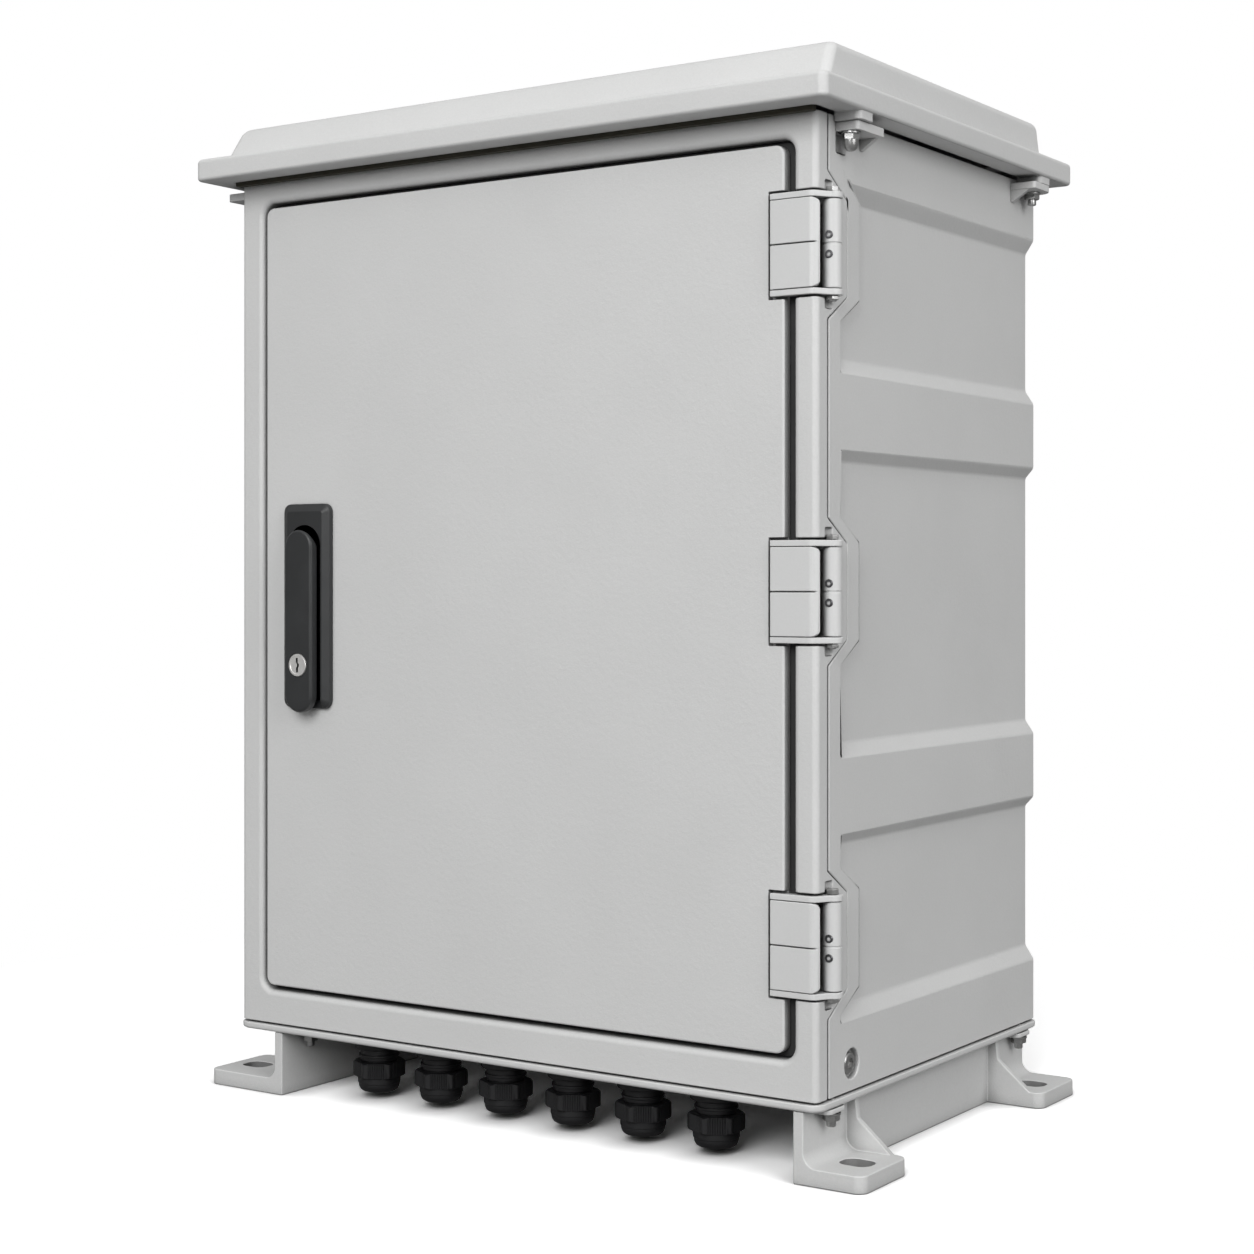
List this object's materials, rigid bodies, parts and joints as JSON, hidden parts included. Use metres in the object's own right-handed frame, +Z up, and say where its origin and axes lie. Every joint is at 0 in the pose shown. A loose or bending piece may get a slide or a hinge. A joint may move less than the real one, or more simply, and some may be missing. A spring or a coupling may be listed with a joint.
{
  "type": "outdoor cable enclosure",
  "caption": "Moulded grey outdoor utility enclosure with hinged lockable door, swing handle, rain canopy, slotted foot rails and black cable glands underneath.",
  "frame": {"origin": "on the ground below the middle of the canopy outline", "axes": "+Z up, door faces -Y, hinges on the +X side"},
  "size_m": [0.68, 0.468, 0.88],
  "materials": {
    "shell": "fine moulded texture, light grey",
    "black_nylon": "satin moulded black",
    "handle_black": "satin dark grey",
    "hinge_zinc": "light grey powder coat",
    "stainless": "bright stainless",
    "galvanised": "galvanised sheet",
    "nickel": "nickel plated",
    "brass": "plain",
    "terminal_grey": "moulded grey",
    "gasket": "black sealing rubber"
  },
  "bodies": {
    "cabinet": {"housing": "shell", "door_frame": "shell", "base_plate": "shell", "canopy": "shell", "foot_rail_left": "shell", "foot_rail_right": "shell", "canopy_bracket_front_left": "shell", "canopy_bracket_front_right": "shell", "canopy_bracket_rear_left": "shell", "canopy_bracket_rear_right": "shell", "canopy_bolt_front_left": "stainless", "foot_bolt_front_left": "stainless", "canopy_bolt_front_right": "stainless", "foot_bolt_front_right": "stainless", "canopy_bolt_rear_left": "stainless", "foot_bolt_rear_left": "stainless", "canopy_bolt_rear_right": "stainless", "foot_bolt_rear_right": "stainless", "side_screw_left": "stainless", "side_screw_right": "stainless", "gland_1_body": "black_nylon", "gland_1_nut": "black_nylon", "gland_2_body": "black_nylon", "gland_2_nut": "black_nylon", "gland_3_body": "black_nylon", "gland_3_nut": "black_nylon", "gland_4_body": "black_nylon", "gland_4_nut": "black_nylon", "gland_5_body": "black_nylon", "gland_5_nut": "black_nylon", "gland_6_body": "black_nylon", "gland_6_nut": "black_nylon", "door_gasket": "gasket", "mounting_plate": "galvanised", "din_rail": "galvanised", "earth_bar": "brass", "terminal_strip": "terminal_grey", "hinge_1_frame_leaf": "hinge_zinc", "hinge_1_pin": "stainless", "hinge_2_frame_leaf": "hinge_zinc", "hinge_2_pin": "stainless", "hinge_3_frame_leaf": "hinge_zinc", "hinge_3_pin": "stainless"},
    "door": {"door_panel": "shell", "handle_base": "handle_black", "gear_case": "galvanised", "rod_guide_upper": "galvanised", "rod_guide_lower": "galvanised", "hinge_1_door_leaf": "hinge_zinc", "hinge_1_cover": "hinge_zinc", "hinge_2_door_leaf": "hinge_zinc", "hinge_2_cover": "hinge_zinc", "hinge_3_door_leaf": "hinge_zinc", "hinge_3_cover": "hinge_zinc"},
    "handle_spindle": {"spindle": "galvanised"},
    "lever": {"lever": "handle_black"},
    "key": {"key_cylinder": "nickel"},
    "upper_rod": {"rod_upper": "galvanised"},
    "lower_rod": {"rod_lower": "galvanised"}
  },
  "joints": [
    {"name": "door_swing", "type": "hinge", "parent": "cabinet", "child": "door", "pos_m": [0.303, -0.181, 0.456], "axis": [0, 0, 1], "range_deg": [0, 120]},
    {"name": "handle_turn", "type": "hinge", "parent": "door", "child": "handle_spindle", "pos_m": [-0.2167, -0.212, 0.4945], "axis": [0, -1, 0], "range_deg": [0, 90]},
    {"name": "lever_lift", "type": "hinge", "parent": "handle_spindle", "child": "lever", "pos_m": [-0.2167, -0.212, 0.4945], "axis": [-1, 0, 0], "range_deg": [0, 25]},
    {"name": "key_turn", "type": "hinge", "parent": "lever", "child": "key", "pos_m": [-0.2167, -0.2176, 0.3895], "axis": [0, -1, 0], "range_deg": [0, 90]},
    {"name": "upper_rod_slide", "type": "slide", "parent": "door", "child": "upper_rod", "axis": [0, 0, -1], "range_m": [0, 0.018]},
    {"name": "lower_rod_slide", "type": "slide", "parent": "door", "child": "lower_rod", "axis": [0, 0, 1], "range_m": [0, 0.018]}
  ],
  "couplings": [
    {"joint": "upper_rod_slide", "follows": "handle_turn", "m_per_rad": 0.011459},
    {"joint": "lower_rod_slide", "follows": "handle_turn", "m_per_rad": 0.011459}
  ]
}
